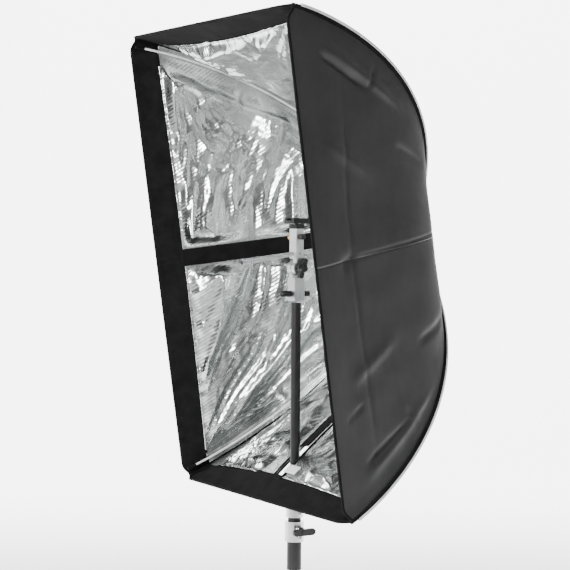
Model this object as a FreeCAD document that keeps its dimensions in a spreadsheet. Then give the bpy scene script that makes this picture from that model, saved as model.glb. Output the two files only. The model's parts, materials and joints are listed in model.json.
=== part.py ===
"""Folding rectangular softbox on a swivel bracket and the top of its stand column.

Row frame: the column's axis is Z, its foot is the origin, the softbox opens towards -Y.
Head frame: origin where the shaft crosses the column's axis, +Y back along the shaft, tipped by head_tilt.
Rib frame: as the head frame, turned about the shaft so that +X runs out to one corner of the opening.
"""
import FreeCAD, Part
import math
import os
import Sketcher
from FreeCAD import Placement, Rotation, Vector

os.makedirs("parts", exist_ok=True)
doc = FreeCAD.newDocument("softbox")
sheet = doc.addObject("Spreadsheet::Sheet", "Sizes")

SIZES = {
    # canopy
    "opening_width": 600, "opening_height": 900, "canopy_depth": 420,
    "corner_power": 2.56, "depth_power": 1.22, "panel_pull": 0.1,
    "nylon_thick": 0.8, "lining_thick": 0.6, "lining_gap": 6, "seam_gap": 1.5,
    "lip_depth": 55, "lip_thick": 1.5, "lip_gap": 2.5, "tape_width": 34, "tape_thick": 1,
    "side_tape_end": 330, "slit_start": 57, "slit_end": 212, "slit_clear": 2.5, "tab_length": 62, "tab_width": 17,
    # shaft, ribs and their linkage
    "shaft_dia": 8, "shaft_wall": 1, "shaft_setback": 27, "rib_dia": 4.4, "rib_inset": 24, "rib_tip_setback": 10,
    "hub_dia": 56, "hub_thick": 17, "hub_pin_radius": 20, "pin_dia": 2.4, "pin_clear": 0.08,
    "slot_clear": 0.4, "cap_dia": 68, "cap_thick": 8, "runner_dia": 20, "runner_length": 34, "runner_gap": 60,
    "runner_flange": 38, "stretcher_reach": 95, "stretcher_thick": 3.6, "stretcher_depth": 6, "open_pivot_gap": 10.5, "lug_drop": 12,
    "pocket_length": 18,
    # swivel bracket
    "head_tilt": 8.24, "column_setback": 148, "pivot_drop": 28, "bar_width": 25, "bar_depth": 16,
    "bar_rise": 46.8, "ear_radius": 13.3, "washer_thick": 1.3, "washer_gap": 0.3, "tilt_bolt_dia": 8,
    "socket_depth": 22, "socket_height": 44.7, "stud_dia": 16, "stud_length": 37, "run_clear": 0.1,
    "spigot_drop": 15, "spigot_dia": 10, "wheel_dia": 30, "wheel_thick": 9,
    "shoe_width": 34, "shoe_base": 6, "shoe_channel": 18.7, "shoe_channel_height": 2.3, "shoe_mouth": 12.7, "shoe_lip": 2.2,
    "thumb_rise": 14, "face_gap": 0.3,
    # column
    "mast_dia": 19, "mast_wall": 1.25, "sleeve_dia": 28, "sleeve_wall": 1.5, "collar_foot": 55,
    "collar_height": 38.6, "collar_wall": 4.5, "bush_rise": 7.7, "stop_height": 19, "stop_dia": 34,
    "mast_foot": 22, "mast_reach": 62, "wing_rise": 22, "bolt_rise": 9.6, "slide_clear": 0.05, "seat_step": 0.4,
    "mast_top": "=opening_height / 2 + mast_reach",  # a taller opening lifts the softbox clear of the stop collar
}
for row, (alias, value) in enumerate(SIZES.items(), 1):
    sheet.set(f"A{row}", str(value))
    sheet.setAlias(f"A{row}", alias)
doc.recompute()


def cell(alias):
    return float(getattr(sheet, alias))


def size(expression):
    """The value of an expression such as 'shaft_dia / 2' over the sheet's cells."""
    probe = doc.addObject("Part::Vertex", "probe")
    probe.setExpression("X", bound(expression))
    doc.recompute()
    value = float(probe.X)
    doc.removeObject(probe.Name)
    return value


def bound(expression):
    """Puts the sheet's name before each alias."""
    words, word = [], ""
    for letter in str(expression) + " ":
        if letter.isalnum() or letter == "_":
            word += letter
        else:
            words += [f"Sizes.{word}" if word in SIZES else word, letter]
            word = ""
    return "".join(words).strip()


# ---------------------------------------------------------------- frames and derived places

tilt = math.radians(cell("head_tilt"))
socket_foot = cell("mast_top") + 3 + cell("face_gap")
pivot_height = socket_foot + cell("socket_height") + cell("ear_radius") + 4.7
shaft_height = pivot_height + cell("pivot_drop")
HEAD = Placement(Vector(0, 0, shaft_height), Rotation(Vector(1, 0, 0), cell("head_tilt")))
half_width, half_height = cell("opening_width") / 2, cell("opening_height") / 2
half_diagonal = math.hypot(half_width, half_height)
depth = cell("canopy_depth")
CORNERS = {"top_left": (-1, 1), "top_right": (1, 1), "bottom_left": (-1, -1), "bottom_right": (1, -1)}


def corner_turn(corner):
    """The turn about the shaft that takes +X to the named corner."""
    sx, sz = CORNERS[corner]
    return Rotation(Vector(0, 1, 0), math.degrees(math.atan2(-sz * half_height, sx * half_width)))


def profile_angle(at_depth):
    return math.asin((at_depth / depth) ** (cell("depth_power") / 2))


def profile(angle, half, inset):
    """A point (outwards, depth) on the canopy's section whose half size is half, moved in by inset along its normal."""
    p, q = 2 / cell("corner_power"), 2 / cell("depth_power")
    angle = max(angle, 1e-4)  # the normal has no direction at the very edge
    c, s = math.cos(angle), math.sin(angle)
    out, back = half * c ** p, depth * s ** q
    d_out, d_back = -half * p * c ** (p - 1) * s, depth * q * s ** (q - 1) * c
    long = math.hypot(d_out, d_back)
    return out - inset * d_back / long, back + inset * d_out / long


# ---------------------------------------------------------------- tools for solid pieces

NODES = []


def node(obj, label, placement=None):
    """Names a finished piece, so that it is exported."""
    obj.Label = label
    if placement is not None:
        obj.Placement = placement
    NODES.append(obj)
    return obj


def along(axis, at=(0, 0, 0)):
    """A placement that takes +Z to axis."""
    return Placement(Vector(*at), Rotation(Vector(0, 0, 1), Vector(*axis)))


def primitive(kind, placement=None, **sizes):
    obj = doc.addObject("Part::" + kind, kind.lower())
    for name, expression in sizes.items():
        obj.setExpression(name, bound(expression))
    if placement is not None:
        obj.Placement = placement
    return obj


def block(x, y, z, centre):
    """A box of three expressions about a centre."""
    box = primitive("Box", Length=x, Width=y, Height=z)
    box.Placement.Base = Vector(*centre) - Vector(size(x), size(y), size(z)) / 2
    return box


def rod(radius, length, at, axis):
    return primitive("Cylinder", along(axis, at), Radius=radius, Height=length)


def join(*pieces):
    fused = doc.addObject("Part::MultiFuse", "join")
    fused.Shapes = list(pieces)
    return fused


def cut(base, *tools):
    result = doc.addObject("Part::Cut", "cut")
    result.Base = base
    result.Tool = tools[0] if len(tools) == 1 else join(*tools)
    return result


def drawn(body, plane, outline):
    """A sketch of a closed polygon whose corners are pairs of expressions."""
    support = [f for f in body.Origin.OriginFeatures if f.Role == plane][0]
    sketch = body.newObject("Sketcher::SketchObject", "outline")
    sketch.AttachmentSupport = (support, [""])
    sketch.MapMode = "FlatFace"
    corners = [Vector(size(u), size(v), 0) for u, v in outline]
    count = len(corners)
    for i in range(count):
        sketch.addGeometry(Part.LineSegment(corners[i], corners[(i + 1) % count]), False)
    for i in range(count):
        sketch.addConstraint(Sketcher.Constraint("Coincident", i, 2, (i + 1) % count, 1))
    for i, pair in enumerate(outline):
        for kind, line, expression, value in zip(("DistanceX", "DistanceY"), (-2, -1), pair, corners[i]):
            if abs(value) < 1e-9:
                sketch.addConstraint(Sketcher.Constraint("PointOnObject", i, 1, line))
                continue
            # the sketcher stores a distance as a positive number from the first point to the second
            ends = (-1, 1, i, 1) if value > 0 else (i, 1, -1, 1)
            k = sketch.addConstraint(Sketcher.Constraint(kind, *ends, abs(value)))
            sketch.setExpression(f"Constraints[{k}]", bound(expression if value > 0 else f"-({expression})"))
    return sketch


def turned(outline):
    """A body of revolution about Z; the outline's corners are (radius, height)."""
    body = doc.addObject("PartDesign::Body", "turned")
    sketch = drawn(body, "XZ_Plane", outline)
    revolution = body.newObject("PartDesign::Revolution", "revolution")
    revolution.Profile = sketch
    revolution.ReferenceAxis = (sketch, ["V_Axis"])
    revolution.Angle = 360
    return body


def padded(plane, outline, length):
    """A body padded to both sides of a plane."""
    body = doc.addObject("PartDesign::Body", "padded")
    sketch = drawn(body, plane, outline)
    pad = body.newObject("PartDesign::Pad", "pad")
    pad.Profile = sketch
    pad.setExpression("Length", bound(length))
    pad.Midplane = True
    return body


def ring(inner, outer, low, high):
    return turned([(inner, low), (outer, low), (outer, high), (inner, high)])


def gripped(radius, low, high, count, axis_at=(0, 0, 0)):
    """A knob with grooves down its side, its axis along Z."""
    knob = turned([(0, low), (radius, low), (radius, f"{high} - 1"), (f"{radius} - 1", high), (0, high)])
    r, tall = size(radius), size(high) - size(low)
    grooves = []
    for i in range(count):
        a = 2 * math.pi * i / count
        at = ((r + 0.5) * math.cos(a), (r + 0.5) * math.sin(a), size(low) - 1)
        grooves.append(rod("1", str(tall + 2), at, (0, 0, 1)))
    return cut(knob, *grooves)


# ---------------------------------------------------------------- column

def build_column():
    wall = "sleeve_dia / 2 - sleeve_wall"
    top = "collar_foot + collar_height"
    seat = "sleeve_dia / 2 - seat_step"
    node(turned([(wall, "0"), ("sleeve_dia / 2", "0"), ("sleeve_dia / 2", "collar_foot"), (seat, "collar_foot"),
                 (seat, top), (wall, top)]), "column_sleeve")
    node(turned([("0", "0"), (wall, "0"), (wall, "14"), ("0", "14")]), "column_foot_plug")
    node(ring("mast_dia / 2 + slide_clear", wall, "collar_foot - 10", f"{top} + bush_rise"), "column_guide_bush")

    outer = "sleeve_dia / 2 + collar_wall"
    wing_at = cell("collar_foot") + cell("wing_rise")
    bolt_at = cell("collar_foot") + cell("bolt_rise")
    sleeve = ring(seat, outer, "collar_foot", top)
    boss = rod("8", "11", (size(outer) - 3, 0, wing_at), (1, 0, 0))
    wing_hole = rod("3.2", "30", (0, 0, wing_at), (1, 0, 0))
    bolt_hole = rod("2", "30", (0, 0, bolt_at), (1, 0, 0))
    keep_out = rod(seat, "200", (0, 0, 0), (0, 0, 1))
    node(cut(join(sleeve, boss), wing_hole, bolt_hole, keep_out), "clamp_collar")
    cap_screw("clamp_collar_bolt", size("sleeve_dia / 2"), size(outer), bolt_at)

    start = size(outer) + 8 + cell("face_gap")
    shank = rod("3.1", str(start - size("sleeve_dia / 2") - 0.2), (size("sleeve_dia / 2") + 0.2, 0, 0), (1, 0, 0))
    grip = rod("6.5", "13", (start, 0, 0), (1, 0, 0))
    wings = padded("YZ_Plane", [("-24", "-3"), ("-19", "-6.5"), ("19", "-6.5"), ("24", "-3"), ("24", "3"),
                                ("19", "6.5"), ("-19", "6.5"), ("-24", "3")], "6")
    wings.Placement.Base = Vector(start + 9, 0, 0)
    node(join(shank, grip, wings), "column_wing_screw", Placement(Vector(0, 0, wing_at), Rotation()))


def cap_screw(label, inner, outer, height):
    """A cap screw in a collar's side, pointing along +X, with a socket in its head."""
    shank = rod("2", str(outer - inner - 0.3), (inner + 0.3, 0, height), (1, 0, 0))
    head = rod("3.6", "3.2", (outer, 0, height), (1, 0, 0))
    socket = primitive("Prism", along((1, 0, 0), (outer + 1.4, 0, height)), Polygon="6", Circumradius="1.7", Height="3")
    node(cut(join(shank, head), socket), label)


def build_mast():
    node(ring("mast_dia / 2 - mast_wall", "mast_dia / 2", "mast_foot", "mast_top"), "mast_tube")
    low = "collar_foot + collar_height + bush_rise + face_gap"
    bolt_at = size(low) + cell("stop_height") / 2
    collar = ring("mast_dia / 2", "stop_dia / 2", low, f"{low} + stop_height")
    node(cut(collar, rod("2", "30", (0, 0, bolt_at), (1, 0, 0))), "mast_stop_collar")
    cap_screw("mast_stop_bolt", size("mast_dia / 2"), size("stop_dia / 2"), bolt_at)
    bore, stud = "mast_dia / 2 - mast_wall", "stud_dia / 2"
    node(turned([
        ("0", "mast_top - 40"), (bore, "mast_top - 40"), (bore, "mast_top"), ("mast_dia / 2", "mast_top"),
        ("mast_dia / 2", "mast_top + 3"), (stud, "mast_top + 3"), (stud, "mast_top + thumb_rise - 4"),
        (f"{stud} - 1.5", "mast_top + thumb_rise - 2"), (f"{stud} - 1.5", "mast_top + thumb_rise + 9"),
        (stud, "mast_top + thumb_rise + 11"), (stud, "mast_top + stud_length"),
        (f"{stud} - 1", "mast_top + 1 + stud_length"), ("0", "mast_top + 1 + stud_length")]), "mast_stud")


# ---------------------------------------------------------------- swivel bracket

def ear(side, web_low, web_high):
    """Half of the tilt joint: a round ear and its web, on the +X or -X side of the washer."""
    inner = cell("washer_thick") / 2 + cell("washer_gap")
    wide = cell("bar_width") / 2 - inner
    disc = rod("ear_radius", str(wide), (side * inner, 0, pivot_height), (side, 0, 0))
    middle = (side * (inner + wide / 2), 0, (web_low + web_high) / 2)
    return disc, block(str(wide), "bar_depth", str(web_high - web_low), middle)


def build_lower_swivel():
    top = socket_foot + cell("socket_height")
    socket = block("bar_width", "socket_depth", "socket_height", (0, 0, (socket_foot + top) / 2))
    disc, web = ear(-1, top - 1, pivot_height)
    thumb_at = cell("mast_top") + cell("thumb_rise") + 3
    bore = rod("stud_dia / 2 + run_clear", "stud_length + 2", (0, 0, socket_foot - 1), (0, 0, 1))
    bolt_hole = rod("tilt_bolt_dia / 2", "60", (-30, 0, pivot_height), (1, 0, 0))
    screw_hole = rod("3.1", "60", (0, -30, thumb_at), (0, 1, 0))
    node(cut(join(socket, disc, web), bore, bolt_hole, screw_hole), "lower_swivel")
    washer = ring("tilt_bolt_dia / 2 + run_clear", "ear_radius - 3", "-washer_thick / 2", "washer_thick / 2")
    node(washer, "tilt_washer", along((1, 0, 0), (0, 0, pivot_height)))

    face = cell("bar_width") / 2
    head = primitive("Prism", along((-1, 0, 0), (-face, 0, pivot_height)), Polygon="6", Circumradius="7.5", Height="5")
    shank = rod("tilt_bolt_dia / 2", "bar_width + 15", (-face, 0, pivot_height), (1, 0, 0))
    node(join(head, shank), "tilt_bolt")
    for label, side, long, radius in (("thumbscrew_front", -1, 20, 6), ("thumbscrew_back", 1, 16, 5.2)):
        start = cell("socket_depth") / 2 + 2
        inner = size("stud_dia / 2 + run_clear") + 0.3
        knob = gripped(str(radius), str(start), str(start + long), 14)
        shank = rod("3", str(start - inner + 1), (0, 0, inner), (0, 0, 1))
        node(join(knob, shank), label, along((0, side, 0), (0, 0, thumb_at)))


def build_tilt_lever():
    """A two-winged nut on the tilt bolt's far end."""
    face = cell("bar_width") / 2 + cell("face_gap")
    hub = ring("tilt_bolt_dia / 2 + slide_clear", "9", str(face), str(face + 11))
    cap = turned([("0", str(face + 15.2)), ("8", str(face + 15.2)), ("7", str(face + 18)), ("0", str(face + 18))])
    sleeve = ring("tilt_bolt_dia / 2 + slide_clear", "8", str(face + 11), str(face + 15.2))
    wings = padded("XY_Plane", [("-19.5", "-3"), ("-16", "-4.5"), ("16", "-4.5"), ("19.5", "-3"), ("19.5", "3"),
                                ("16", "4.5"), ("-16", "4.5"), ("-19.5", "3")], "10")
    wings.Placement.Base = Vector(0, 0, face + 9)
    bore = rod("tilt_bolt_dia / 2 + slide_clear", "15.2", (0, 0, face), (0, 0, 1))
    turn = Rotation(Vector(1, 0, 0), -18)
    place = Placement(Vector(0, 0, pivot_height), turn.multiply(Rotation(Vector(0, 0, 1), Vector(1, 0, 0))))
    node(cut(join(hub, sleeve, cap, wings), bore), "tilt_lever", place)


def build_upper_swivel():
    bar_low = pivot_height + cell("ear_radius") + 4.7
    bar_top = bar_low + cell("bar_rise") + 10
    bar = block("bar_width", "bar_depth", str(bar_top - bar_low), (0, 0, (bar_low + bar_top) / 2))
    disc, web = ear(1, pivot_height, bar_low + 1)
    face = cell("bar_width") / 2
    spigot_at = bar_top - cell("spigot_drop")
    shaft_hole = rod("shaft_dia / 2 + slide_clear", "60", (0, -30, 0), (0, 1, 0))
    shaft_hole.Placement = HEAD.multiply(shaft_hole.Placement)
    holes = [
        shaft_hole,
        rod("tilt_bolt_dia / 2 + run_clear", "60", (-30, 0, pivot_height), (1, 0, 0)),
        rod("spigot_dia / 2", "bar_width / 2 + 6", (-face, 0, spigot_at), (1, 0, 0)),
        rod("2.6", "60", (0, 0, spigot_at), (1, 0, 0)),
        rod("2.5", "60", (cell("shaft_dia") / 2, 0, shaft_height), (1, 0, 0)),
        rod("3.2", "8", (0, 0, bar_top - 8), (0, 0, 1)),
    ]
    node(cut(join(bar, disc, web), *holes), "upper_swivel")
    spigot = turned([("0", "-bar_width / 2 - 9"), ("6.5", "-bar_width / 2 - 9"), ("7.5", "-bar_width / 2 - 8"),
                     ("7.5", "-bar_width / 2"), ("spigot_dia / 2", "-bar_width / 2"), ("spigot_dia / 2", "5"),
                     ("0", "5")])
    node(spigot, "brass_spigot", along((1, 0, 0), (0, 0, spigot_at)))
    knob = gripped("5.5", str(face + cell("face_gap")), str(face + 12), 12)
    node(join(knob, rod("2.5", str(face - 4), (0, 0, 5.5), (0, 0, 1))), "spigot_knob",
         along((1, 0, 0), (0, 0, spigot_at)))
    start = cell("shaft_dia") / 2 + 0.3
    grub = rod("2.45", str(face - start - 0.5), (start, 0, shaft_height), (1, 0, 0))
    socket = primitive("Prism", along((1, 0, 0), (face - 3, 0, shaft_height)), Polygon="6", Circumradius="1.5", Height="4")
    node(cut(grub, socket), "shaft_grub_screw")
    build_shoe(bar_top)


def build_shoe(bar_top):
    """The accessory shoe on its stem, and the knurled wheel that locks it."""
    low = bar_top + cell("face_gap")
    wheel = cut(gripped("wheel_dia / 2", "0", "wheel_thick", 30), rod("3.2", "20", (0, 0, -1), (0, 0, 1)))
    node(wheel, "shoe_wheel", Placement(Vector(0, 0, low), Rotation()))
    plate_low = low + cell("wheel_thick") + cell("face_gap")
    channel_low = plate_low + cell("shoe_base")
    channel_high = channel_low + cell("shoe_channel_height")
    top = channel_high + cell("shoe_lip")
    plate = block("shoe_width", "shoe_width", str(top - plate_low), (0, 0, (plate_low + top) / 2))
    stem = rod("3.1", str(plate_low - bar_top + 7), (0, 0, bar_top - 7), (0, 0, 1))
    channel = block("shoe_channel", "40", "shoe_channel_height", (0, 0, (channel_low + channel_high) / 2))
    mouth = block("shoe_mouth", "40", "shoe_lip + 4", (0, 0, top))
    node(cut(join(plate, stem), channel, mouth), "accessory_shoe")


# ---------------------------------------------------------------- shaft, hub and runner

def head_rod(radius, start, end):
    """A rod along the shaft between two distances from the opening."""
    return primitive("Cylinder", head_axis(start), Radius=radius, Height=str(end - start))


def head_axis(at_depth, turn=None):
    """A placement whose +Z runs back along the shaft, starting at a distance from the opening."""
    local = Placement(Vector(0, at_depth - cell("column_setback"), 0), Rotation(Vector(0, 0, 1), Vector(0, 1, 0)))
    return HEAD.multiply(local if turn is None else Placement(Vector(), turn).multiply(local))


pivot_depth = depth - cell("rib_inset")
runner_pivot_depth = pivot_depth - cell("runner_gap")


def build_shaft():
    front, back = cell("shaft_setback"), depth + 3
    tube = ring("shaft_dia / 2 - shaft_wall", "shaft_dia / 2", "0", str(back - front))
    node(tube, "shaft", head_axis(front))
    plug = turned([("0", "-1.5"), ("shaft_dia / 2 - 0.8", "-1.5"), ("shaft_dia / 2", "0"),
                   ("shaft_dia / 2 - shaft_wall", "0"), ("shaft_dia / 2 - shaft_wall", "8"), ("0", "8")])
    node(plug, "shaft_plug", head_axis(front))


def slotted(blank, start_radius, wide, tall, middle):
    """Four slots, one towards each corner, for the ribs' or the stretchers' roots."""
    slots = []
    for corner in CORNERS:
        slot = block("60", str(tall), str(wide), (start_radius + 30, middle, 0))
        slot.Placement = Placement(Vector(), corner_turn(corner)).multiply(slot.Placement)
        slots.append(slot)
    return cut(blank, *slots)


def corner_pins(radius, wide, middle):
    """Four cross pins, one through each slot."""
    pins = []
    for corner in CORNERS:
        pin = rod("pin_dia / 2", str(wide), (radius, middle, -wide / 2), (0, 0, 1))
        pin.Placement = Placement(Vector(), corner_turn(corner)).multiply(pin.Placement)
        pins.append(pin)
    return pins


def upright(piece, middle):
    """Turns a piece made about Z so that its axis runs along the shaft from middle."""
    piece.Placement = Placement(Vector(0, middle, 0), Rotation(Vector(0, 0, 1), Vector(0, 1, 0)))
    return piece


def build_hub():
    middle = pivot_depth - cell("column_setback")
    thick = cell("hub_thick")
    blank = upright(ring("shaft_dia / 2", "hub_dia / 2", str(-thick / 2), str(thick / 2)), middle)
    slot_wide = size("rib_dia + 2 * slot_clear")
    pin_long = slot_wide + 8
    pin_holes = corner_pins(cell("hub_pin_radius"), pin_long, middle)
    node(cut(slotted(blank, cell("hub_pin_radius") - 9, slot_wide, thick + 2, middle), *pin_holes), "hub", HEAD)
    node(join(*corner_pins(cell("hub_pin_radius"), pin_long, middle)), "hub_pins", HEAD)
    cap = turned([("0", "0"), ("cap_dia / 2", "0"), ("cap_dia / 2", "2.5"), ("cap_dia / 2 - 6", "cap_thick"),
                  ("0", "cap_thick")])
    node(cap, "hub_cap", head_axis(depth + 3 + cell("face_gap")))


def build_runner():
    middle = runner_pivot_depth - cell("column_setback")
    front = middle - cell("runner_length") + 8
    long = cell("runner_length")
    tube = upright(ring("shaft_dia / 2 + slide_clear", "runner_dia / 2", "0", str(long)), front)
    flange = upright(ring("shaft_dia / 2 + slide_clear", "runner_flange / 2", "-6", "6"), middle)
    slot_wide = size("stretcher_thick + 2 * slot_clear")
    slots = slotted(join(tube, flange), cell("shaft_dia") / 2 + 3, slot_wide, 60, middle)
    node(join(slots, *corner_pins(14, slot_wide + 4, middle)), "runner", HEAD)


# ---------------------------------------------------------------- ribs and stretchers

def rib_line(angle):
    out, back = profile(angle, half_diagonal, cell("rib_inset"))
    return Vector(out, back - cell("column_setback"), 0)


def angle_where(test, low, high):
    """The profile angle where test changes sign, by halving."""
    for _ in range(50):
        middle = (low + high) / 2
        low, high = (middle, high) if test(middle) > 0 else (low, middle)
    return low


RIB_TIP = profile_angle(cell("rib_tip_setback") + 6)
RIB_ROOT = angle_where(lambda a: rib_line(a).x - cell("hub_pin_radius") - 5, 1.0, 1.5707)
LUG_ANGLE = angle_where(lambda a: rib_line(a).x - cell("stretcher_reach"), 1.0, 1.5707)


def rib_frame(corner):
    return HEAD.multiply(Placement(Vector(), corner_turn(corner)))


def open_pivot_place():
    """Where the lug sits on the rib, the rib's direction there, and the pivot that the stretcher reaches for."""
    at = rib_line(LUG_ANGLE)
    way = (rib_line(LUG_ANGLE + 0.01) - rib_line(LUG_ANGLE - 0.01)).normalize()
    inwards = Vector(-way.y, way.x, 0)
    inwards = inwards if inwards.y < 0 else -inwards
    return at, way, at + inwards * cell("lug_drop")


def swept(points, radius):
    """A round bar along a smooth curve through points."""
    curve = Part.BSplineCurve()
    curve.interpolate(points)
    start, tangent = points[0], curve.tangent(curve.FirstParameter)[0]
    ring_wire = Part.Wire([Part.Circle(start, tangent, radius).toShape()])
    return Part.Wire([curve.toShape()]).makePipeShell([ring_wire], True, True)


def build_ribs():
    radius = cell("rib_dia") / 2
    pivot = Vector(cell("hub_pin_radius"), pivot_depth - cell("column_setback"), 0)
    steps = 10
    angles = [RIB_TIP + (RIB_ROOT - RIB_TIP) * i / steps for i in range(steps + 1)]
    points = [rib_line(a) for a in angles] + [pivot + Vector(2.8, 0, 0)]
    bar = swept(points, radius)
    eye_half = radius + 0.1
    eye = Part.makeCylinder(4, 2 * eye_half, pivot - Vector(0, 0, eye_half), Vector(0, 0, 1))
    bore = Part.makeCylinder(size("pin_dia / 2 + pin_clear"), 20, pivot - Vector(0, 0, 10), Vector(0, 0, 1))
    rib = bar.fuse(eye).cut(bore)

    lug_at, lug_way, open_pivot = open_pivot_place()
    tongue_half = 1.5
    inwards = (open_pivot - lug_at).normalize()
    plate = Part.makeBox(cell("lug_drop"), 6, 2 * tongue_half, Vector(0, -3, -tongue_half))
    plate.Placement = Placement(lug_at, Rotation(Vector(1, 0, 0), inwards))
    nose = Part.makeCylinder(3, 2 * tongue_half, open_pivot - Vector(0, 0, tongue_half), Vector(0, 0, 1))
    clamp = Part.makeCylinder(radius + 1.3, 9, lug_at - lug_way * 4.5, lug_way)
    lug = clamp.fuse([plate, nose]).cut(bar)

    tip_way = (points[1] - points[0]).normalize()
    pocket = Part.makeCylinder(radius + 1.2, cell("pocket_length"), points[0] - tip_way * 3, tip_way).cut(bar)
    for corner in CORNERS:
        for label, shape in (("rib_", rib), ("rib_lug_", lug), ("rib_pocket_", pocket)):
            piece = doc.addObject("Part::Feature", label + corner)
            piece.Shape = shape.copy()
            node(piece, label + corner, rib_frame(corner))


def build_stretchers():
    """A flat bar from the runner's slot towards the rib's lug, which it stops short of."""
    root = Vector(14, runner_pivot_depth - cell("column_setback"), 0)
    reach = open_pivot_place()[2] - root
    long = reach.Length - cell("open_pivot_gap")
    thick, high = cell("stretcher_thick"), cell("stretcher_depth")
    for corner in CORNERS:
        bar = block(str(long), "stretcher_depth", "stretcher_thick", (long / 2, 0, 0))
        eye = rod("stretcher_depth / 2", "stretcher_thick", (0, 0, -thick / 2), (0, 0, 1))
        nose = rod("stretcher_depth / 2", "stretcher_thick", (long, 0, -thick / 2), (0, 0, 1))
        bore = rod("pin_dia / 2 + pin_clear", "20", (0, 0, -10), (0, 0, 1))
        slope = Placement(root, Rotation(Vector(1, 0, 0), reach))
        node(cut(join(bar, eye, nose), bore), "stretcher_" + corner, rib_frame(corner).multiply(slope))


# ---------------------------------------------------------------- fabric

SIDES = {  # name: (half size outwards, half size across, outward direction, across direction)
    "left": (half_width, half_height, Vector(-1, 0, 0), Vector(0, 0, 1)),
    "right": (half_width, half_height, Vector(1, 0, 0), Vector(0, 0, 1)),
    "top": (half_height, half_width, Vector(0, 0, 1), Vector(1, 0, 0)),
    "bottom": (half_height, half_width, Vector(0, 0, -1), Vector(1, 0, 0)),
}


def skin(side, start, end, inset, half_strip=None, shift=0):
    """A smooth surface on one side of the canopy between two depths, and its four edges."""
    half_out, half_across, out_way, across_way = SIDES[side]
    rows, columns = 13, 9
    low, high = profile_angle(start), profile_angle(end)
    grid = []
    for i in range(rows):
        angle = low + (high - low) * i / (rows - 1)
        out, back = profile(angle, half_out, inset)
        plain_depth = profile(angle, half_out, 0)[1]
        limit = profile(angle, half_across, inset)[0] - cell("seam_gap")
        line = []
        for j in range(columns):
            share = 2 * j / (columns - 1) - 1
            across = (limit if half_strip is None else half_strip) * share + shift
            bow = 1 - (across / limit) ** 2
            pull = cell("panel_pull") * bow * math.sin(math.pi * plain_depth / depth)
            line.append(out_way * out * (1 - pull) + across_way * across
                        + Vector(0, back - cell("column_setback"), 0))
        grid.append(line)
    surface = Part.BSplineSurface()
    surface.interpolate(grid)
    return surface, [grid[0][0], grid[-1][0], grid[-1][-1], grid[0][-1]]


def sheet_solid(side, start, end, inset, thick, half_strip=None, shift=0):
    """A thin closed solid that follows the canopy, inset from its outside."""
    outer, inner = (skin(side, start, end, i, half_strip, shift)[0] for i in (inset, inset + thick))
    faces = [outer.toShape(), inner.toShape()]
    u0, u1, v0, v1 = outer.bounds()
    p0, p1, q0, q1 = inner.bounds()
    for a, b in (((outer.uIso, u0), (inner.uIso, p0)), ((outer.uIso, u1), (inner.uIso, p1)),
                 ((outer.vIso, v0), (inner.vIso, q0)), ((outer.vIso, v1), (inner.vIso, q1))):
        faces.append(Part.makeRuledSurface(a[0](a[1]).toShape(), b[0](b[1]).toShape()))
    shell = Part.makeShell(faces)
    shell.sewShape()
    solid = Part.makeSolid(Part.Shell(shell.Faces))
    if solid.Volume < 0:
        solid.reverse()
    return solid


def fabric(label, shape):
    piece = doc.addObject("Part::Feature", label)
    piece.Shape = shape
    node(piece, label, HEAD)


def build_fabric():
    wall, lining, lip = cell("nylon_thick"), cell("lining_thick"), cell("lip_depth")
    end = depth - 0.35
    lining_inset, tape_inset = cell("lining_gap"), cell("lining_gap") + cell("lining_thick") + 0.3
    half_slit = size("mast_dia / 2 + slit_clear")
    slit = Part.makeBox(2 * half_slit, cell("slit_end") - cell("slit_start"), half_height,
                        Vector(-half_slit, cell("slit_start") - cell("column_setback"), -half_height - 20))
    for side in SIDES:
        panel = sheet_solid(side, 0, end, 0, wall)
        inner = sheet_solid(side, lip + 1, end, lining_inset, lining)
        if side == "bottom":
            panel, inner = panel.cut(slit), inner.cut(slit)
        fabric("panel_" + side, panel)
        fabric("lining_" + side, inner)
        fabric("lip_" + side, sheet_solid(side, 1, lip, cell("lip_gap"), cell("lip_thick")))
    half_tape, tape = cell("tape_width") / 2, cell("tape_thick")
    fabric("side_tape", sheet_solid("left", lip + 1, cell("side_tape_end"), tape_inset, tape, half_tape))
    strip = sheet_solid("bottom", lip + 1, cell("slit_end") + 8, tape_inset, tape, half_tape)
    fabric("slit_tape", strip.cut(slit))
    tab_start = cell("slit_start") + 2
    fabric("slit_tab", sheet_solid("bottom", tab_start, tab_start + cell("tab_width"), tape_inset + tape + 0.3, 1,
                                   cell("tab_length") / 2, cell("tab_length") / 2 - 12))


build_column()
build_mast()
build_lower_swivel()
build_tilt_lever()
build_upper_swivel()
build_shaft()
build_hub()
build_runner()
build_ribs()
build_stretchers()
build_fabric()
doc.recompute()

for obj in doc.Objects:
    if any(word in obj.State for word in ("Invalid", "Error")):
        raise RuntimeError(f"{obj.Label} failed: {obj.State}")
for obj in NODES:
    if obj.Shape.isNull() or not obj.Shape.isValid() or obj.Shape.Volume <= 0:
        raise RuntimeError(f"{obj.Label} has no valid solid")
for obj in NODES:
    obj.Shape.exportStep(f"parts/{obj.Label}.step")
print(len(NODES), "pieces; pivot at", round(pivot_height, 1), "and shaft at", round(shaft_height, 1))
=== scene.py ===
import json
import math

import bmesh
import bpy
import numpy as np
from mathutils import Matrix, Vector


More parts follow.
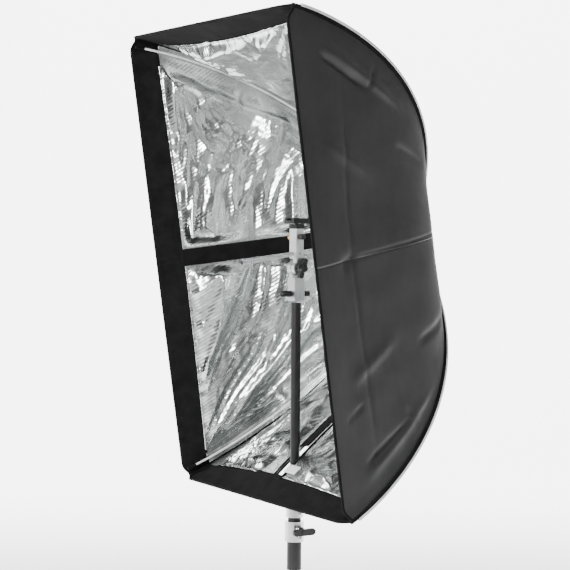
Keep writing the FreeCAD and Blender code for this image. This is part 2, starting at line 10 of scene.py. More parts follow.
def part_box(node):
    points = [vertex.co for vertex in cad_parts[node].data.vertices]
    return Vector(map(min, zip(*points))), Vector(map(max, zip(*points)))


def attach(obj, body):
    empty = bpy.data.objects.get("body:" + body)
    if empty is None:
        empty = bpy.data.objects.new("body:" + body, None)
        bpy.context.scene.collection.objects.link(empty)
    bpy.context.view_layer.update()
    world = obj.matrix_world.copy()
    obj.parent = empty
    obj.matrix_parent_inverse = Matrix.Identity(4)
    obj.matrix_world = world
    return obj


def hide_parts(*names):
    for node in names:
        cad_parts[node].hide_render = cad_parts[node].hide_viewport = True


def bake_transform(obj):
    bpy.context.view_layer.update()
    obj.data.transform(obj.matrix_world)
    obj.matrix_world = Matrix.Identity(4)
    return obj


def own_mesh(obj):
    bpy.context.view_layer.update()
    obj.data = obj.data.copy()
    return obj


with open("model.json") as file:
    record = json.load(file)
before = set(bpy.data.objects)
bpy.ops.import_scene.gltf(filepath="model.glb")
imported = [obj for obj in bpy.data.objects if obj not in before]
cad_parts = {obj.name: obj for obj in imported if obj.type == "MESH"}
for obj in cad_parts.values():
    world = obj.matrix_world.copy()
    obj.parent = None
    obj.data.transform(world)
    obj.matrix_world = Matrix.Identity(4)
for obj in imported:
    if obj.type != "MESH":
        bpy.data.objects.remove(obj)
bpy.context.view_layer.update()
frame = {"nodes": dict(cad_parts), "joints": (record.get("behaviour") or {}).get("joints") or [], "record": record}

JOINTS = {joint["name"]: joint for joint in frame["joints"]}

# ------------------------------------------------------------------ the softbox's own frame and sizes, in metres

OPENING_WIDTH, OPENING_HEIGHT, CANOPY_DEPTH = 0.6, 0.9, 0.42
CORNER_POWER, DEPTH_POWER = 2.56, 1.22
COLUMN_SETBACK = 0.148
LIP_DEPTH, LIP_INSET = 0.055, 0.003
LINING_INSET = 0.0062
PANEL_PULL = 0.1
SEAM_GAP = 0.0012
SLIT_START, SLIT_END, SLIT_HALF = 0.0525, 0.212, 0.012
TAPE_HALF, SIDE_TAPE_END, COLUMN_ROOM = 0.017, 0.33, 0.0675
TAB_START, TAB_END, TAB_NEAR, TAB_FAR = 0.06, 0.077, 0.0115, 0.05
CORNER_ROUND = 0.016
BACKDROP_GLOW = 6.0

shaft_way = Vector(JOINTS["shaft_slide"]["axis"]).normalized()
shaft_middle = sum(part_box("shaft"), Vector()) / 2
crossing = shaft_middle - shaft_way * (shaft_middle.y / shaft_way.y)
HEAD = Matrix.Translation(crossing) @ Matrix(
    [(1, 0, 0), tuple(shaft_way), tuple(Vector((1, 0, 0)).cross(shaft_way))]).transposed().to_4x4()
HALF = {"width": OPENING_WIDTH / 2, "height": OPENING_HEIGHT / 2}
SIDES = {  # name: (half size outwards, half size across, outward direction, across direction)
    "left": (HALF["width"], HALF["height"], (-1, 0, 0), (0, 0, 1)),
    "right": (HALF["width"], HALF["height"], (1, 0, 0), (0, 0, 1)),
    "top": (HALF["height"], HALF["width"], (0, 0, 1), (1, 0, 0)),
    "bottom": (HALF["height"], HALF["width"], (0, 0, -1), (1, 0, 0)),
}
CORNERS = {"top_left": (-1, 1), "top_right": (1, 1), "bottom_left": (-1, -1), "bottom_right": (1, -1)}
SCENE = bpy.context.scene.collection


def placed(points):
    """Points of the softbox's own frame, in the row frame."""
    rotation, move = np.array(HEAD.to_3x3()), np.array(HEAD.translation)
    return np.asarray(points, float) @ rotation.T + move


def profile_angle(depth):
    return math.asin(min(depth / CANOPY_DEPTH, 1.0) ** (DEPTH_POWER / 2))


def profile(angle, half, inset):
    """The canopy's section: distance out from the shaft and depth, moved in along its normal."""
    p, q = 2 / CORNER_POWER, 2 / DEPTH_POWER
    angle = np.maximum(angle, 1e-4)
    c, s = np.cos(angle), np.sin(angle)
    out, back = half * c ** p, CANOPY_DEPTH * s ** q
    d_out, d_back = -half * p * c ** (p - 1) * s, CANOPY_DEPTH * q * s ** (q - 1) * c
    long = np.hypot(d_out, d_back)
    return out - inset * d_back / long, back + inset * d_out / long


# ------------------------------------------------------------------ noise for folds and wrinkles

def gradient_noise(x, y, seed):
    """Smooth noise between about -1 and 1 on a unit lattice."""
    table = np.random.default_rng(seed).uniform(0, 2 * math.pi, (64, 64))
    xi, yi = np.floor(x).astype(int), np.floor(y).astype(int)
    xf, yf = x - xi, y - yi
    u, v = xf ** 3 * (xf * (xf * 6 - 15) + 10), yf ** 3 * (yf * (yf * 6 - 15) + 10)

    def corner(i, j):
        turn = table[(xi + i) % 64, (yi + j) % 64]
        return np.cos(turn) * (xf - i) + np.sin(turn) * (yf - j)

    low = corner(0, 0) * (1 - u) + corner(1, 0) * u
    high = corner(0, 1) * (1 - u) + corner(1, 1) * u
    return (low * (1 - v) + high * v) * 1.4


def ridges(x, y, seed):
    """Noise with rounded crests and sharper valleys, between 0 and 1."""
    return 1 - np.minimum(np.abs(gradient_noise(x, y, seed)) * 1.6, 1)


def smooth(t):
    t = np.clip(t, 0, 1)
    return t * t * (3 - 2 * t)


def turned(x, y, degrees):
    a = math.radians(degrees)
    return x * math.cos(a) + y * math.sin(a), -x * math.sin(a) + y * math.cos(a)


# ------------------------------------------------------------------ meshes

def mesh_object(name, points, faces, material, uv=None):
    mesh = bpy.data.meshes.new(name)
    mesh.from_pydata([tuple(p) for p in points], [], faces)
    if uv is not None:
        layer = mesh.uv_layers.new(name="cloth")
        loops = np.zeros(len(mesh.loops), int)
        mesh.loops.foreach_get("vertex_index", loops)
        layer.data.foreach_set("uv", uv[loops].ravel())
    mesh.polygons.foreach_set("use_smooth", [True] * len(mesh.polygons))
    mesh.materials.append(material)
    obj = bpy.data.objects.new(name, mesh)
    SCENE.objects.link(obj)
    return obj


def grid_faces(rows, columns, flip=False, keep=None):
    faces = []
    for i in range(rows - 1):
        for j in range(columns - 1):
            if keep is not None and not keep[i, j]:
                continue
            a = i * columns + j
            face = (a, a + 1, a + columns + 1, a + columns)
            faces.append(face[::-1] if flip else face)
    return faces


def thicken(obj, thickness):
    solid = obj.modifiers.new("cloth thickness", "SOLIDIFY")
    solid.thickness = thickness
    solid.offset = 0


def tube(name, path, radius, material, sides=8):
    """A round tube along a list of points."""
    path = np.asarray(path, float)
    tangents = np.gradient(path, axis=0)
    tangents /= np.linalg.norm(tangents, axis=1)[:, None]
    normal = np.cross(tangents[0], (0.31, 0.52, 0.79))
    points = []
    for at, tangent in zip(path, tangents):
        normal = normal - tangent * (normal @ tangent)
        normal /= np.linalg.norm(normal)
        other = np.cross(tangent, normal)
        for k in range(sides):
            turn = 2 * math.pi * k / sides
            points.append(at + radius * (math.cos(turn) * normal + math.sin(turn) * other))
    faces = []
    for i in range(len(path) - 1):
        for k in range(sides):
            a, b = i * sides + k, i * sides + (k + 1) % sides
            faces.append((a, b, b + sides, a + sides))
    last = (len(path) - 1) * sides
    faces.append(tuple(reversed(range(sides))))
    faces.append(tuple(range(last, last + sides)))
    return mesh_object(name, points, faces, material)


# ------------------------------------------------------------------ materials

def material(name, colour, roughness, metallic=0.0, **sockets):
    mat = bpy.data.materials.new(name)
    mat.use_nodes = True
    shader = mat.node_tree.nodes["Principled BSDF"]
    shader.inputs["Base Color"].default_value = (*colour, 1)
    shader.inputs["Roughness"].default_value = roughness
    shader.inputs["Metallic"].default_value = metallic
    for socket, value in sockets.items():
        shader.inputs[socket.replace("_", " ")].default_value = value
    return mat


class Nodes:
    """Short names for building a material's nodes."""

    def __init__(self, mat):
        self.tree = mat.node_tree
        self.shader = self.tree.nodes["Principled BSDF"]
        self.normal = None

    def add(self, kind, **values):
        made = self.tree.nodes.new(kind)
        for name, value in values.items():
            if hasattr(made, name):
                setattr(made, name, value)
            else:
                made.inputs[name.replace("_", " ")].default_value = value
        return made

    def link(self, source, target):
        self.tree.links.new(source, target)

    def coordinates(self, stretch=(1, 1, 1), turn=(0, 0, 0), uv=False):
        where = self.add("ShaderNodeTexCoord")
        mapping = self.add("ShaderNodeMapping")
        mapping.inputs["Scale"].default_value = stretch
        mapping.inputs["Rotation"].default_value = turn
        self.link(where.outputs["UV" if uv else "Object"], mapping.inputs["Vector"])
        return mapping.outputs["Vector"]

    def noise(self, scale, where=None, detail=3.0, roughness=0.55):
        made = self.add("ShaderNodeTexNoise", Scale=scale, Detail=detail, Roughness=roughness)
        self.link(where or self.coordinates(), made.inputs["Vector"])
        return made.outputs["Fac"]

    def wave(self, scale, where, distortion=0.0, detail=0.0):
        made = self.add("ShaderNodeTexWave", Scale=scale, Distortion=distortion, Detail=detail)
        self.link(where, made.inputs["Vector"])
        return made.outputs["Fac"]

    def bump(self, height, strength, distance):
        made = self.add("ShaderNodeBump", Strength=strength, Distance=distance)
        self.link(height, made.inputs["Height"])
        if self.normal is not None:
            self.link(self.normal, made.inputs["Normal"])
        self.normal = made.outputs["Normal"]
        self.link(self.normal, self.shader.inputs["Normal"])

    def spread(self, source, low, high, socket):
        made = self.add("ShaderNodeMapRange")
        made.inputs["From Min"].default_value = 0.3
        made.inputs["From Max"].default_value = 0.7
        made.inputs["To Min"].default_value = low
        made.inputs["To Max"].default_value = high
        self.link(source, made.inputs["Value"])
        self.link(made.outputs["Result"], self.shader.inputs[socket])

    def tint(self, source, dark, light):
        made = self.add("ShaderNodeValToRGB")
        made.color_ramp.elements[0].position = 0.3
        made.color_ramp.elements[1].position = 0.7
        made.color_ramp.elements[0].color = (*dark, 1)
        made.color_ramp.elements[1].color = (*light, 1)
        self.link(source, made.inputs["Fac"])
        self.link(made.outputs["Color"], self.shader.inputs["Base Color"])


def satin_nylon():
    mat = material("satin_nylon", (0.02, 0.02, 0.021), 0.5, Sheen_Weight=0.06, Sheen_Roughness=0.5,
                   Specular_IOR_Level=0.3)
    n = Nodes(mat)
    n.tint(n.noise(9), (0.018, 0.018, 0.018), (0.027, 0.027, 0.027))
    n.spread(n.noise(14, detail=4), 0.44, 0.58, "Roughness")
    n.bump(n.noise(24, n.coordinates((1, 1, 0.35)), detail=5), 0.3, 0.003)
    for turn in (0, math.pi / 2):
        n.bump(n.wave(260, n.coordinates(turn=(0, 0, turn), uv=True)), 0.08, 0.0002)
    return mat


def silver_foil():
    mat = material("silver_foil", (0.66, 0.68, 0.67), 0.25, metallic=1.0)
    n = Nodes(mat)
    # Tint from dark grey to light silver in noise stretched along the height: partly tone that varies at random, partly
    # painted dark reflection streaks standing in for the dark surroundings the foil mirrors.
    n.tint(n.noise(7, n.coordinates((1, 1, 0.3)), detail=5), (0.34, 0.36, 0.355), (0.8, 0.82, 0.81))
    n.spread(n.noise(11, detail=5), 0.14, 0.3, "Roughness")
    n.bump(n.noise(22, n.coordinates((1, 0.8, 0.25)), detail=5, roughness=0.6), 0.5, 0.005)
    n.bump(n.wave(50, n.coordinates(turn=(0, 0, 0.5), uv=True), distortion=0.8, detail=1.0), 0.2, 0.0008)
    n.bump(n.noise(160, detail=2), 0.15, 0.0005)
    return mat


def black_webbing(name="black_webbing", level=0.006, ribbed=False):
    mat = material(name, (level, level, level * 1.05), 0.88, Specular_IOR_Level=0.12)
    n = Nodes(mat)
    n.tint(n.noise(40), (level * 0.7,) * 3, (level * 1.5,) * 3)
    n.bump(n.noise(420, detail=2), 0.5, 0.0006)
    if ribbed:
        n.bump(n.wave(170, n.coordinates(uv=True)), 0.5, 0.0005)
    return mat


def metal(name, colour, roughness, grain=(1, 1, 30), strength=0.12):
    """Brushed or cast metal; the grain runs along the axis that is stretched least."""
    mat = material(name, colour, roughness, metallic=1.0)
    n = Nodes(mat)
    n.spread(n.noise(60, n.coordinates(grain), detail=4), roughness * 0.75, roughness * 1.35, "Roughness")
    n.bump(n.noise(220, n.coordinates(grain), detail=3), strength, 0.0004)
    n.tint(n.noise(25, detail=3), tuple(c * 0.88 for c in colour), colour)
    return mat


def moulded(name, level, roughness, grain=500, strength=0.15, **sockets):
    mat = material(name, (level, level, level * 1.04), roughness, **sockets)
    n = Nodes(mat)
    n.tint(n.noise(35), (level * 0.8,) * 3, (level * 1.3,) * 3)
    n.spread(n.noise(50, detail=4), roughness * 0.85, min(roughness * 1.2, 1), "Roughness")
    n.bump(n.noise(grain, detail=2), strength, 0.0003)
    return mat


def white_tape():
    mat = material("white_tape", (0.8, 0.8, 0.79), 0.7)
    n = Nodes(mat)
    n.tint(n.noise(60), (0.74, 0.74, 0.73), (0.84, 0.84, 0.83))
    n.bump(n.wave(150, n.coordinates(uv=True)), 0.3, 0.0003)
    return mat


NYLON = satin_nylon()
FOIL = silver_foil()
WEBBING = black_webbing()
TAPE = black_webbing("hook_and_loop", 0.005, ribbed=True)
WHITE_TAPE = white_tape()
RIB_GREY = moulded("rib_grey", 0.78, 0.35)
PIPING = moulded("pale_piping", 0.7, 0.45, grain=300, strength=0.3)
FINISHES = {
    "black_powder": moulded("black_powder_coat", 0.008, 0.38, grain=700, strength=0.2, Specular_IOR_Level=0.3),
    "black_plastic": moulded("black_plastic", 0.01, 0.5, grain=400, Specular_IOR_Level=0.3),
    "cast_silver": metal("turned_aluminium", (0.62, 0.62, 0.63), 0.24, grain=(1, 1, 12)),
    "swivel_silver": metal("brushed_casting", (0.56, 0.56, 0.57), 0.34, grain=(14, 14, 1)),
    "bright_steel": metal("bright_steel", (0.8, 0.8, 0.81), 0.14, grain=(1, 1, 1), strength=0.04),
    "screw_steel": metal("screw_steel", (0.42, 0.42, 0.43), 0.3, grain=(1, 1, 1), strength=0.06),
    "knob_black": moulded("glossy_black", 0.006, 0.3, grain=120, strength=0.05, Specular_IOR_Level=0.35),
    "shoe_black": moulded("anodised_black", 0.007, 0.36, grain=500, strength=0.1, Specular_IOR_Level=0.3),
    "brass": metal("turned_brass", (0.72, 0.45, 0.2), 0.25, grain=(12, 1, 1)),
    "shaft_silver": metal("bright_tube", (0.6, 0.6, 0.61), 0.3, grain=(1, 14, 1), strength=0.05),
    "rib_grey": RIB_GREY,
    "rib_metal": metal("zinc_plate", (0.6, 0.6, 0.6), 0.35, grain=(1, 1, 1)),
    "lip_nylon": WEBBING,
    "outer_nylon": NYLON, "silver_lining": FOIL, "tape_black": TAPE, "tab_white": WHITE_TAPE,
}


def finish_cad_nodes():
    """Gives every CAD piece that stays its finish, by the record's slots."""
    for row in frame["record"]["subparts"]:
        obj = frame["nodes"][row["node"]]
        obj.data.materials.clear()
        obj.data.materials.append(FINISHES[row["material_slot"]])


# ------------------------------------------------------------------ cloth

class Cloth:
    """One side of the canopy between two depths, as rows of points from the front to the hub."""

    def __init__(self, side, start, end, inset, rows, columns, relief=None):
        self.side, self.columns = side, columns
        half_out, half_across, out_way, across_way = SIDES[side]
        angle = np.linspace(profile_angle(start), profile_angle(end), rows)
        share = np.linspace(-1, 1, 2 * columns - 1)
        out, back = profile(angle, half_out, inset)
        _, plain = profile(angle, half_out, 0)
        limit = profile(angle, half_across, inset)[0] - SEAM_GAP
        across = limit[:, None] * share[None, :]
        pull = PANEL_PULL * (1 - share[None, :] ** 2) * np.sin(math.pi * plain / CANOPY_DEPTH)[:, None]
        self.out_way, self.across_way = np.array(out_way, float), np.array(across_way, float)
        base = ((out[:, None] * (1 - pull))[..., None] * self.out_way + across[..., None] * self.across_way
                + (back - COLUMN_SETBACK)[:, None, None] * np.array((0, 1, 0)))
        steps = np.hypot(np.diff(out), np.diff(back))
        self.along = start + np.concatenate([[0], np.cumsum(steps)])[:, None] + 0 * across
        self.across, self.depth = across, plain[:, None] + 0 * across
        self.edge = limit[:, None] - np.abs(across)
        self.long = float(self.along[-1, 0] - self.along[0, 0])
        rounding = CORNER_ROUND * (1 - smooth(self.edge / (2.2 * CORNER_ROUND))) ** 2 * (1 - smooth(self.along / 0.09))
        base = base + rounding[..., None] * np.array((0, 1, 0))
        self.base = self.plain = base
        if relief is not None:
            self.base = base + relief(self)[..., None] * self.inward()

    def inward(self):
        """Unit vectors from the cloth towards the shaft's side."""
        rows = np.gradient(self.base, axis=0)
        columns = np.gradient(self.base, axis=1)
        normal = np.cross(rows, columns)
        normal /= np.maximum(np.linalg.norm(normal, axis=2), 1e-9)[..., None]
        middle = self.base * np.array((1, 0, 1))
        flip = np.sign(np.sum(normal * middle, axis=2))
        flip[flip == 0] = 1
        return -normal * flip[..., None]

    def area(self, part):
        """The cut cloth's area, from the smooth surface before any fold is laid in it."""
        grid = self.plain[:, part]
        a = grid[1:, :-1] - grid[:-1, :-1]
        b = grid[:-1, 1:] - grid[:-1, :-1]
        return float(np.linalg.norm(np.cross(a, b), axis=2).sum())


def half_name(side, low):
    if side in ("left", "right"):
        return "lower" if low else "upper"
    return "left" if low else "right"


def half_corner(side, low):
    if side in ("left", "right"):
        return ("bottom_" if low else "top_") + side
    return side + ("_left" if low else "_right")


def hang(piece, corner):
    """Bakes the piece's placement into its mesh; a direction beside its corner's diagonal is worked out but not used.
    """
    x, z = CORNERS[corner]
    half = Vector((x * HALF["width"], 0, z * HALF["height"])).normalized()
    side_way = Vector((-half.z, 0, half.x))
    middle = sum((Vector(c) for c in piece.bound_box), Vector()) / 8
    local = HEAD.inverted() @ middle
    if local.dot(side_way) < 0:
        side_way = -side_way
    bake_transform(piece)


def cloth_halves(kind, cloth, mat, node, thickness, keep=None):
    """Two pieces that meet at the middle of the side."""
    _, half_across, _, _ = SIDES[cloth.side]
    for low in (True, False):
        part = slice(0, cloth.columns) if low else slice(cloth.columns - 1, None)
        grid = cloth.base[:, part]
        rows, columns = grid.shape[:2]
        uv = np.stack([cloth.across[:, part].ravel(), cloth.along[:, part].ravel()], 1)
        kept = None if keep is None else keep(cloth)[:, part.start or 0:][:, :columns - 1]
        flip = cloth.side in ("left", "top")
        obj = mesh_object(f"{kind}_{cloth.side}_{half_name(cloth.side, low)}", placed(grid.reshape(-1, 3)),
                          grid_faces(rows, columns, flip, kept), mat, uv)
        drop_loose(obj)
        thicken(obj, thickness)
        hang(obj, half_corner(cloth.side, low))
        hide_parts(node)
        area = min(cloth.area(part), half_across * cloth.long)


def drop_loose(obj):
    """Takes out points that no face uses."""
    used = {v for p in obj.data.polygons for v in p.vertices}
    if len(used) == len(obj.data.vertices):
        return
    work = bmesh.new()
    work.from_mesh(obj.data)
    bmesh.ops.delete(work, geom=[v for v in work.verts if not v.link_faces], context="VERTS")
    work.to_mesh(obj.data)
    work.free()


def seam_taper(cloth, wide=0.03, front=0.02, rear=0.05, clear=0.0, first=0.0):
    """0 at the edges of a side and 1 in its field."""
    end = cloth.along[-1, 0]
    return (smooth((cloth.edge - clear) / wide) * smooth((cloth.along - first) / front)
            * smooth((end - cloth.along) / rear))


def crease(cloth, start, end, wide, high):
    """A soft fold between two (across, along) points, higher in its middle."""
    a, b = np.array(start), np.array(end)
    way = b - a
    long = np.linalg.norm(way)
    way = way / long
    x, y = cloth.across - a[0], cloth.along - a[1]
    t = (x * way[0] + y * way[1]) / long
    off = (-x * way[1] + y * way[0]) / wide
    return high * np.exp(-off ** 2) * smooth(t / 0.25) * smooth((1 - t) / 0.35)


# Creases on the outside of a side, fanned from a front corner: (share of the half size across, distance along) of
# both ends, then width and height; the sign of the height alternates so that neighbouring creases differ.
CREASES = (
    ((0.94, 0.03), (0.78, 0.24), 0.0075, 0.0075), ((0.82, 0.05), (0.64, 0.20), 0.0065, 0.006),
    ((0.64, 0.19), (0.83, 0.25), 0.0055, 0.004), ((0.63, 0.02), (0.53, 0.06), 0.005, 0.0035),
    ((0.90, 0.03), (0.52, 0.33), 0.011, -0.006), ((0.70, 0.22), (0.62, 0.36), 0.008, 0.004),
    ((0.50, 0.03), (0.30, 0.20), 0.012, -0.003), ((0.42, 0.26), (0.30, 0.40), 0.009, 0.003))


def outer_relief(cloth):
    """Storage creases and tension folds in the outside nylon, inwards positive."""
    seed = {"left": 11, "right": 12, "top": 13, "bottom": 14}[cloth.side]
    x, y = cloth.across, cloth.along
    soft = 0.0035 * gradient_noise(x * 5, y * 5, seed) + 0.0012 * gradient_noise(x * 17, y * 10, seed + 20)
    folds = 0
    half = SIDES[cloth.side][1]
    for sign in (-1, 1):
        shift = 0.0 if sign > 0 else 0.03
        for (from_share, from_along), (to_share, to_along), wide, high in CREASES:
            folds = folds + crease(cloth, (sign * half * (from_share - shift / 2), from_along + shift / 3),
                                   (sign * half * (to_share + shift), to_along + shift), wide, high * (1 - 6 * shift))
    lip_fade = 0.25 + 0.75 * smooth((y - 0.045) / 0.045)
    seam = crease(cloth, (0, 0.02), (0.01, 0.5), 0.003, 0.002)
    pucker = crease(cloth, (-0.012, 0.07), (0.014, 0.13), 0.012, 0.003)
    packing = crease(cloth, (-half * 0.9, 0.1), (half * 0.9, 0.12), 0.006, 0.0015)
    if cloth.side in ("left", "bottom"):
        field = smooth((np.abs(x) - TAPE_HALF - 0.004) / 0.03)
        return (soft + folds) * field * lip_fade * seam_taper(cloth, 0.05, 0.03, clear=0.018)
    return (soft + folds + seam + pucker + packing) * lip_fade * seam_taper(cloth, 0.05, 0.03, clear=0.018)


def lining_relief(cloth):
    """Long slanting folds, folds that fan out of the front corners, and fine crumples; inwards positive."""
    seed = {"left": 31, "right": 32, "top": 33, "bottom": 34}[cloth.side]
    slant = {"left": 24, "right": 24, "top": -60, "bottom": 60}[cloth.side]
    x, y = cloth.across, cloth.along
    half = SIDES[cloth.side][1]
    warp = 0.05 * gradient_noise(x * 4, y * 4, seed + 5)
    u, v = turned(x + warp, y - 0.6 * warp, slant)
    slanted = 0.026 * ridges(u * 2.2, v * 8, seed) ** 1.6 + 0.007 * ridges(u * 5, v * 19, seed + 1) ** 2
    fans = 0
    for sign in (-1, 1):
        dx, dy = half - sign * x, y + 0.004
        far = np.hypot(dx, dy)
        turn = np.arctan2(dy, dx) + 0.12 * gradient_noise(x * 5, y * 5, seed + 7)
        fan = (0.024 * ridges(turn * 4.3, far * 1.6, seed + 8 + sign) ** 1.6
               + 0.008 * ridges(turn * 10, far * 3, seed + 11 + sign) ** 2) * np.minimum(far / 0.35, 1.1)
        share = smooth((0.62 * half - dx) / (0.5 * half) + 0.5)
        share = share * (0.35 if cloth.side == "left" and sign > 0 else 1)
        fans = fans + fan * share
        slanted = slanted * (1 - share)
    folds = slanted + fans + 0.0016 * ridges(u * 14, v * 55, seed + 2)
    folds = folds + 0.0007 * gradient_noise(x * 50, y * 60, seed + 3)
    bunched = 0.0024 * ridges(x * 34, y * 3, seed + 4) * (1 - smooth((cloth.along - LIP_DEPTH) / 0.02))
    field = seam_taper(cloth, 0.05, 0.02, clear=0.03, first=LIP_DEPTH - 0.002)
    if cloth.side in ("left", "bottom"):
        middle = smooth((np.abs(cloth.across) - TAPE_HALF - 0.002) / 0.025)
        field, bunched = field * middle, bunched * middle
    bunched = bunched * smooth((cloth.edge - 0.03) / 0.03)
    if cloth.side == "bottom":
        flat = smooth((np.abs(x) - 0.055) / 0.04 + smooth((y - 0.085) / 0.04))
        field, bunched = field * flat, bunched * flat
    return outer_relief(cloth) + np.maximum(folds, 0) * field + bunched


def slit_kept(cloth):
    """Faces of the bottom side that aren't in the column's slit."""
    across = (cloth.across[:-1, :-1] + cloth.across[1:, 1:]) / 2
    depth = (cloth.depth[:-1, :-1] + cloth.depth[1:, 1:]) / 2
    return ~((np.abs(across) < SLIT_HALF - 0.001) & (depth > SLIT_START) & (depth < SLIT_END))


def lip_relief(cloth):
    seed = {"left": 51, "right": 52, "top": 53, "bottom": 54}[cloth.side]
    x, y = cloth.across, cloth.along
    own = (0.0025 * gradient_noise(x * 9, y * 12, seed) + 0.0015) * smooth(cloth.edge / 0.03)
    return outer_relief(cloth) + np.maximum(own, 0)


def build_cloth():
    hub_edge = CANOPY_DEPTH - 0.0006
    for side in SIDES:
        keep = slit_kept if side == "bottom" else None
        outer = Cloth(side, 0.0, hub_edge, 0.0012, 150, 100, outer_relief)
        cloth_halves("panel", outer, NYLON, "panel_" + side, 0.0008, keep)
        lining = Cloth(side, LIP_DEPTH - 0.004, hub_edge, LINING_INSET, 190, 120, lining_relief)
        cloth_halves("lining", lining, FOIL, "lining_" + side, 0.0006, keep)
        lip = Cloth(side, 0.001, LIP_DEPTH, LIP_INSET, 14, 90, lip_relief)
        cloth_halves("lip", lip, WEBBING, "lip_" + side, 0.0014)
        build_hem(side, outer)


def build_hem(side, cloth):
    """The rolled binding along one side's front edge, in two halves."""
    for low in (True, False):
        part = slice(0, cloth.columns) if low else slice(cloth.columns - 1, None)
        path = placed(cloth.base[0, part] + np.array((0, 0.0012, 0)) - cloth.out_way * 0.0018)
        obj = tube(f"hem_{side}_{half_name(side, low)}", path, 0.0026, WEBBING)
        hang(obj, half_corner(side, low))


def seam_line(corner, inset, start, end, count):
    x, z = CORNERS[corner]
    angles = np.linspace(profile_angle(start), profile_angle(end), count)
    half = math.hypot(HALF["width"], HALF["height"])
    out, back = profile(angles, half, inset)
    return np.stack([x * out * HALF["width"] / half, back - COLUMN_SETBACK, z * out * HALF["height"] / half], 1)


def build_piping():
    """Pale piping over a dark seam tape down each corner, outside."""
    for corner in CORNERS:
        pale = tube("piping_" + corner, placed(seam_line(corner, -0.0034, 0.03, 0.412, 70)), 0.0032, PIPING)
        tape = tube("seam_tape_" + corner, placed(seam_line(corner, 0.0012, 0.014, 0.4185, 70)), 0.0046, WEBBING)
        for obj in (pale, tape):
            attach(obj, "rib_" + corner)


# ------------------------------------------------------------------ tapes on the lining

def strip_grid(side, start, end, inset, low, high, rows, columns):
    """A strip along the middle of one side between two across values."""
    half_out, _, out_way, across_way = SIDES[side]
    angle = np.linspace(profile_angle(start), profile_angle(end), rows)
    across = np.linspace(low, high, columns)
    out, back = profile(angle, half_out, inset)
    _, plain = profile(angle, half_out, 0)
    limit = profile(angle, SIDES[side][1], inset)[0]
    pull = PANEL_PULL * (1 - (across[None, :] / limit[:, None]) ** 2) * np.sin(math.pi * plain / CANOPY_DEPTH)[:, None]
    points = ((out[:, None] * (1 - pull))[..., None] * np.array(out_way, float)
              + across[None, :, None] * np.array(across_way, float)
              + (back - COLUMN_SETBACK)[:, None, None] * np.array((0, 1, 0)))
    along = np.concatenate([[0], np.cumsum(np.hypot(np.diff(out), np.diff(back)))])
    uv = np.stack([np.broadcast_to(across, (rows, columns)).ravel(),
                   np.broadcast_to(along[:, None], (rows, columns)).ravel()], 1)
    return points, uv, along[-1]


def strip(name, side, start, end, inset, low, high, mat, node, thickness=0.0012, rows=40, columns=10,
          hole=None):
    """A tape sewn along the middle of one side; hole is (half width, first depth, last depth) left open in it."""
    points, uv, long = strip_grid(side, start, end, inset, low, high, rows, columns)
    kept, area = None, None
    if hole:
        half, first, last = hole
        across, along = uv[:, 0].reshape(rows, columns), points[..., 1] + COLUMN_SETBACK
        middle_across = (across[:-1, :-1] + across[1:, 1:]) / 2
        middle_along = (along[:-1, :-1] + along[1:, 1:]) / 2
        kept = ~((np.abs(middle_across) < half) & (middle_along > first) & (middle_along < last))
        area = (high - low) * float(long) * kept.mean()
    flip = side in ("left", "top")
    obj = mesh_object(name, placed(points.reshape(-1, 3)), grid_faces(rows, columns, flip, kept), mat, uv)
    drop_loose(obj)
    thicken(obj, thickness)
    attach(obj, "canopy")
    if node:
        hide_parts(node)
    return obj


def build_tapes():
    inset = LINING_INSET + 0.0012
    strip("tape_side", "left", LIP_DEPTH - 0.01, SIDE_TAPE_END, inset, -TAPE_HALF, TAPE_HALF, TAPE, "side_tape")
    strip("tape_slit", "bottom", LIP_DEPTH - 0.01, SLIT_END + 0.012, inset, -TAPE_HALF, TAPE_HALF, TAPE, "slit_tape",
          rows=60, columns=23, hole=(SLIT_HALF, SLIT_START, SLIT_END))
    for name, sign in (("slit_flap_left", -1), ("slit_flap_right", 1)):
        low, high = sorted((sign * (SLIT_HALF + 0.002), -sign * 0.0005))
        flap = strip(name, "bottom", SLIT_START + COLUMN_ROOM, SLIT_END, inset + 0.0012 * (1 + sign), low, high,
                     TAPE, None, rows=30, columns=6)
        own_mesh(flap)
    strip("tab_slit", "bottom", TAB_START, TAB_END, inset + 0.003, TAB_NEAR, TAB_FAR, WHITE_TAPE, "slit_tab",
          rows=8, columns=16)


# ------------------------------------------------------------------ stage, light and camera

def camera():
    """A level view from the front right, 3 m off, on a long lens."""
    azimuth, elevation, roll = math.radians(58.54), math.radians(2.19), math.radians(0.44)
    away = 3.004
    back = Vector((math.sin(azimuth) * math.cos(elevation), -math.cos(azimuth) * math.cos(elevation),
                   math.sin(elevation)))
    right = Vector((math.cos(azimuth), math.sin(azimuth), 0))
    up = back.cross(right)
    opening = HEAD @ Vector((0, -COLUMN_SETBACK, 0))
    data = bpy.data.cameras.new("camera")
    data.sensor_width = 36
    data.lens = 102.1
    data.clip_end = 50
    cam = bpy.data.objects.new("camera", data)
    cam.matrix_world = Matrix.Translation(opening + back * away + right * 0.1035 - up * 0.0363) @ Matrix(
        [tuple(right * math.cos(roll) + up * math.sin(roll)), tuple(up * math.cos(roll) - right * math.sin(roll)),
         tuple(back)]).transposed().to_4x4()
    SCENE.objects.link(cam)
    bpy.context.scene.camera = cam


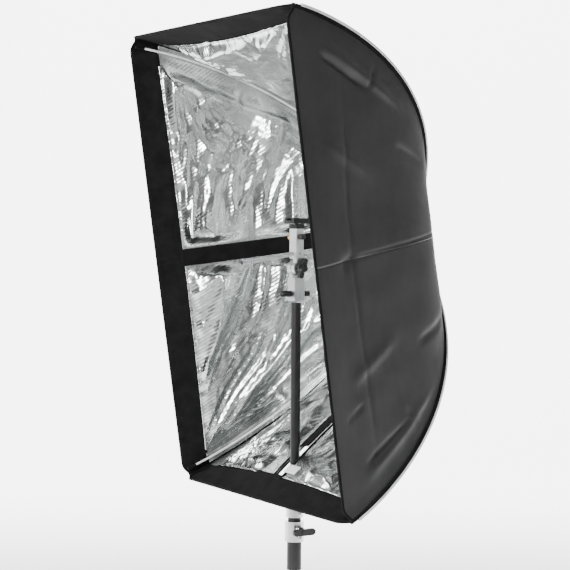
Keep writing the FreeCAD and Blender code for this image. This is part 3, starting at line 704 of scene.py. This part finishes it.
def backdrop():
    """A mid-grey floor that curves up into a wall all the way round, with a painted glow (emission) that is strongest
    behind the softbox and also lights the scene.
    """
    radius, rise, sides = 7.0, 6.0, 96
    ring = [(0.0, 0.0), (2.5, 0.0)] + [
        (radius - 2 + 2 * math.sin(a), 2 - 2 * math.cos(a)) for a in np.linspace(0, math.pi / 2, 14)] + [(radius, rise)]
    points = [(r * math.cos(t), r * math.sin(t), h - 0.0005) for r, h in ring
              for t in np.linspace(0, 2 * math.pi, sides, endpoint=False)]
    faces = []
    for i in range(len(ring) - 1):
        for k in range(sides):
            a, b = i * sides + k, i * sides + (k + 1) % sides
            faces.append((a, b, b + sides, a + sides))
    # Painted glow: the backdrop is mid grey and emits light, strongest behind the softbox, fading sideways and with
    # height, so it reads white there and lights the softbox from behind.
    backdrop_glow_finish = material("backdrop_painted_glow", (0.42, 0.42, 0.42), 0.95, Emission_Color=(1, 1, 1, 1), Specular_IOR_Level=0)
    n = Nodes(backdrop_glow_finish)
    where = n.add("ShaderNodeTexCoord")
    turn = math.radians(58)
    glow = None
    for way, dim, bright, both_ways in (((-math.sin(turn), math.cos(turn), 0), -1.0, 1.0, False),
                                        ((math.cos(turn), math.sin(turn), 0), 3.0, 1.6, True),
                                        ((0, 0, 1), 4.0, 2.6, False)):
        along = n.add("ShaderNodeVectorMath", operation="DOT_PRODUCT")
        along.inputs[1].default_value = way
        n.link(where.outputs["Object"], along.inputs[0])
        reach = along.outputs["Value"]
        if both_ways:
            size = n.add("ShaderNodeMath", operation="ABSOLUTE")
            n.link(reach, size.inputs[0])
            reach = size.outputs["Value"]
        share = n.add("ShaderNodeMapRange", interpolation_type="SMOOTHSTEP")
        share.inputs["From Min"].default_value = dim
        share.inputs["From Max"].default_value = bright
        n.link(reach, share.inputs["Value"])
        times = n.add("ShaderNodeMath", operation="MULTIPLY")
        n.link(share.outputs["Result"], times.inputs[0])
        if glow is None:
            times.inputs[1].default_value = BACKDROP_GLOW
        else:
            n.link(glow, times.inputs[1])
        glow = times.outputs["Value"]
    n.link(glow, n.shader.inputs["Emission Strength"])
    obj = mesh_object("backdrop", points, faces, backdrop_glow_finish)


def light(name, at, aim, power, wide, high):
    data = bpy.data.lights.new(name, "AREA")
    data.shape = "RECTANGLE"
    data.size, data.size_y, data.energy = wide, high, power
    obj = bpy.data.objects.new(name, data)
    way = Vector(aim) - Vector(at)
    obj.matrix_world = Matrix.Translation(Vector(at)) @ way.to_track_quat("-Z", "Y").to_matrix().to_4x4()
    SCENE.objects.link(obj)


def lights():
    world = bpy.data.worlds.new("studio")
    world.use_nodes = True
    world.node_tree.nodes["Background"].inputs["Color"].default_value = (0.95, 0.97, 1, 1)
    world.node_tree.nodes["Background"].inputs["Strength"].default_value = 0.05
    bpy.context.scene.world = world
    middle = tuple(crossing)
    light("front_left", (-2.2, -2.7, 1.3), middle, 110, 0.6, 1.6)
    light("camera_side", (1.5, -3.0, 1.5), middle, 170, 0.8, 1.6)
    light("top_soft", (0.9, 0.4, 3.2), middle, 40, 1.2, 0.8)


camera()
backdrop()
lights()
finish_cad_nodes()
build_cloth()
build_piping()
build_tapes()
